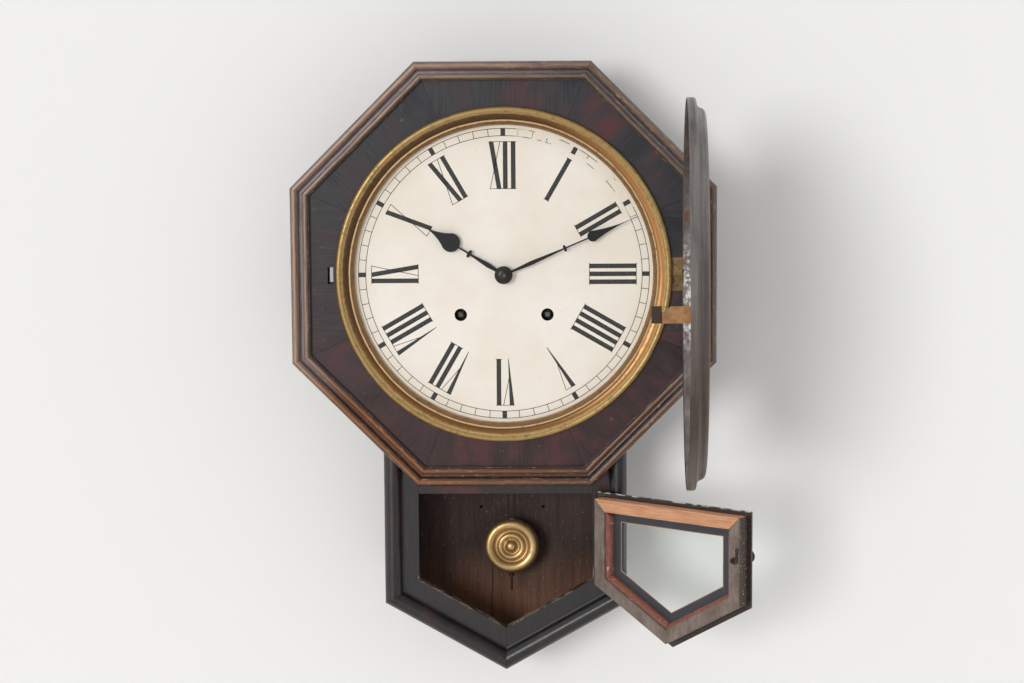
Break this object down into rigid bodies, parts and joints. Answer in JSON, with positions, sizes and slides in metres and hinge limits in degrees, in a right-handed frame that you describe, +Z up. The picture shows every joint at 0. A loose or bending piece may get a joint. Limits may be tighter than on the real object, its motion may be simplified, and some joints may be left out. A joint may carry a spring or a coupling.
{
  "type": "octagonal drop wall clock",
  "caption": "Octagonal drop wall clock with hinged round bezel, glazed lower door, pendulum, spring-driven movement and gong, shown with both doors open.",
  "frame": {"origin": "on the wall plane, straight behind the middle of the dial", "axes": "+X to the right of a person who faces the dial, +Y into the wall, +Z up"},
  "size_m": [0.4655, 0.4874, 0.6285],
  "materials": {
    "pine_board": "old oiled pine, dusty",
    "dark_veneer": "stained veneer under worn dark polish",
    "dark_moulding": "black-brown polish worn brown on the edges",
    "door_wood": "grey-brown bare wood",
    "dial_enamel": "cream enamel, crazed and stained",
    "gilt": "worn gilding on a turned ring",
    "bezel_metal": "spun metal with dark old lacquer",
    "plaster": "crumbling plaster and putty",
    "glass": "old clear glass",
    "copper_strip": "dull copper",
    "brass": "aged brass",
    "steel": "dark steel",
    "iron": "black iron",
    "blued_hand": "blued steel gone black"
  },
  "bodies": {
    "case": {"back_board": "pine_board", "case_side_left": "pine_board", "case_side_right": "pine_board", "case_top_board": "pine_board", "case_bottom_boards": "pine_board", "head_board": "pine_board", "head_veneer": "dark_veneer", "head_moulding": "dark_moulding", "dial_trim_ring": "gilt", "trunk_front_frame": "dark_veneer", "trunk_moulding": "dark_moulding", "hanger_plate": "brass", "wood_screws": "steel", "dial_plate": "dial_enamel", "dial_tacks": "brass", "bezel_hinge_fixed_leaf": "brass", "hinge_pins": "steel", "door_hinge_fixed_leaves": "brass", "movement_back_plate": "brass", "movement_front_plate": "brass", "movement_pillars": "brass", "movement_feet": "iron", "mainsprings": "steel", "gong_base": "iron", "gong_coil": "steel", "suspension_cock": "brass", "suspension_spring": "steel"},
    "bezel": {"bezel_rim": "bezel_metal", "bezel_glass": "glass", "bezel_putty": "plaster", "bezel_catch": "copper_strip", "bezel_hinge_moving_leaf": "brass"},
    "lower_door": {"door_frame": "door_wood", "door_moulding": "dark_moulding", "door_glass": "glass", "door_glazing_slips": "door_wood", "door_hinge_moving_leaves": "brass"},
    "latch": {"latch_knob": "iron", "latch_hook": "iron"},
    "minute_arbor": {"centre_wheel": "brass", "cannon_pinion": "brass", "minute_hand": "blued_hand", "hand_nut": "brass"},
    "hour_pipe": {"hour_wheel": "brass", "hour_hand": "blued_hand"},
    "motion_wheel": {"minute_wheel": "brass"},
    "time_winding": {"time_winding_arbor": "steel"},
    "time_great": {"time_great_wheel": "brass"},
    "time_second": {"second_wheel": "brass"},
    "time_third": {"third_wheel": "brass"},
    "escape": {"escape_wheel": "brass"},
    "strike_winding": {"strike_winding_arbor": "steel"},
    "strike_great": {"strike_great_wheel": "brass"},
    "strike_second": {"strike_second_wheel": "brass"},
    "fly": {"strike_fly": "brass"},
    "hammer": {"strike_hammer": "steel"},
    "anchor": {"verge": "steel"},
    "pendulum": {"pendulum_rod": "iron"},
    "bob": {"pendulum_bob": "brass", "rating_nut": "brass"}
  },
  "joints": [
    {"name": "bezel_hinge", "type": "hinge", "parent": "case", "child": "bezel", "pos_m": [0.1886, -0.1149, 0], "axis": [0, 0, 1], "range_deg": [-88.6, 21.4]},
    {"name": "lower_door_hinge", "type": "hinge", "parent": "case", "child": "lower_door", "pos_m": [0.0963, -0.0983, -0.275], "axis": [0, 0, 1], "range_deg": [-142.9, 15]},
    {"name": "latch_turn", "type": "hinge", "parent": "lower_door", "child": "latch", "pos_m": [0.23668, -0.2086, -0.272], "axis": [-0.6032, -0.7976, 0], "range_deg": [0, 180]},
    {"name": "minute_turn", "type": "hinge", "parent": "case", "child": "minute_arbor", "pos_m": [0, -0.065, 0], "axis": [0, 1, 0], "continuous": true},
    {"name": "hour_turn", "type": "hinge", "parent": "case", "child": "hour_pipe", "pos_m": [0, -0.065, 0], "axis": [0, 1, 0], "continuous": true},
    {"name": "motion_turn", "type": "hinge", "parent": "case", "child": "motion_wheel", "pos_m": [-0.0084, -0.065, -0.01455], "axis": [0, 1, 0], "continuous": true},
    {"name": "time_winding_turn", "type": "hinge", "parent": "case", "child": "time_winding", "pos_m": [0.0443, -0.065, -0.0415], "axis": [0, 1, 0], "continuous": true},
    {"name": "time_great_turn", "type": "hinge", "parent": "case", "child": "time_great", "pos_m": [0.0443, -0.065, -0.0415], "axis": [0, 1, 0], "continuous": true},
    {"name": "time_second_turn", "type": "hinge", "parent": "case", "child": "time_second", "pos_m": [0.02993, -0.065, -0.00203], "axis": [0, 1, 0], "continuous": true},
    {"name": "time_third_turn", "type": "hinge", "parent": "case", "child": "time_third", "pos_m": [-0.01249, -0.065, 0.02049], "axis": [0, 1, 0], "continuous": true},
    {"name": "escape_turn", "type": "hinge", "parent": "case", "child": "escape", "pos_m": [0.0045, -0.065, 0.029], "axis": [0, 1, 0], "continuous": true},
    {"name": "strike_winding_turn", "type": "hinge", "parent": "case", "child": "strike_winding", "pos_m": [-0.0443, -0.065, -0.0415], "axis": [0, 1, 0], "continuous": true},
    {"name": "strike_great_turn", "type": "hinge", "parent": "case", "child": "strike_great", "pos_m": [-0.0443, -0.065, -0.0415], "axis": [0, 1, 0], "continuous": true},
    {"name": "strike_second_turn", "type": "hinge", "parent": "case", "child": "strike_second", "pos_m": [-0.02993, -0.065, -0.00203], "axis": [0, 1, 0], "continuous": true},
    {"name": "fly_turn", "type": "hinge", "parent": "case", "child": "fly", "pos_m": [-0.04553, -0.065, 0.02025], "axis": [0, 1, 0], "continuous": true},
    {"name": "hammer_turn", "type": "hinge", "parent": "case", "child": "hammer", "pos_m": [-0.008, -0.065, -0.056], "axis": [0, 1, 0], "range_deg": [-12, 0]},
    {"name": "pendulum_swing", "type": "hinge", "parent": "case", "child": "pendulum", "pos_m": [0.0045, -0.036, 0.05], "axis": [0, 1, 0], "range_deg": [-3.5, 3.5]},
    {"name": "anchor_rock", "type": "hinge", "parent": "case", "child": "anchor", "pos_m": [0.0045, -0.065, 0.05], "axis": [0, 1, 0], "range_deg": [-3.6, 3.6]},
    {"name": "bob_slide", "type": "slide", "parent": "pendulum", "child": "bob", "axis": [0, 0, 1], "range_m": [-0.006, 0.006]}
  ],
  "couplings": [
    {"joint": "hour_turn", "follows": "minute_turn", "ratio": 0.083333},
    {"joint": "motion_turn", "follows": "minute_turn", "ratio": -0.33333},
    {"joint": "time_second_turn", "follows": "minute_turn", "ratio": -0.25},
    {"joint": "time_great_turn", "follows": "minute_turn", "ratio": 0.041667},
    {"joint": "time_third_turn", "follows": "minute_turn", "ratio": -9},
    {"joint": "escape_turn", "follows": "minute_turn", "ratio": 76.5},
    {"joint": "strike_second_turn", "follows": "strike_great_turn", "ratio": -6},
    {"joint": "fly_turn", "follows": "strike_great_turn", "ratio": 45},
    {"joint": "anchor_rock", "follows": "pendulum_swing", "ratio": 1}
  ]
}
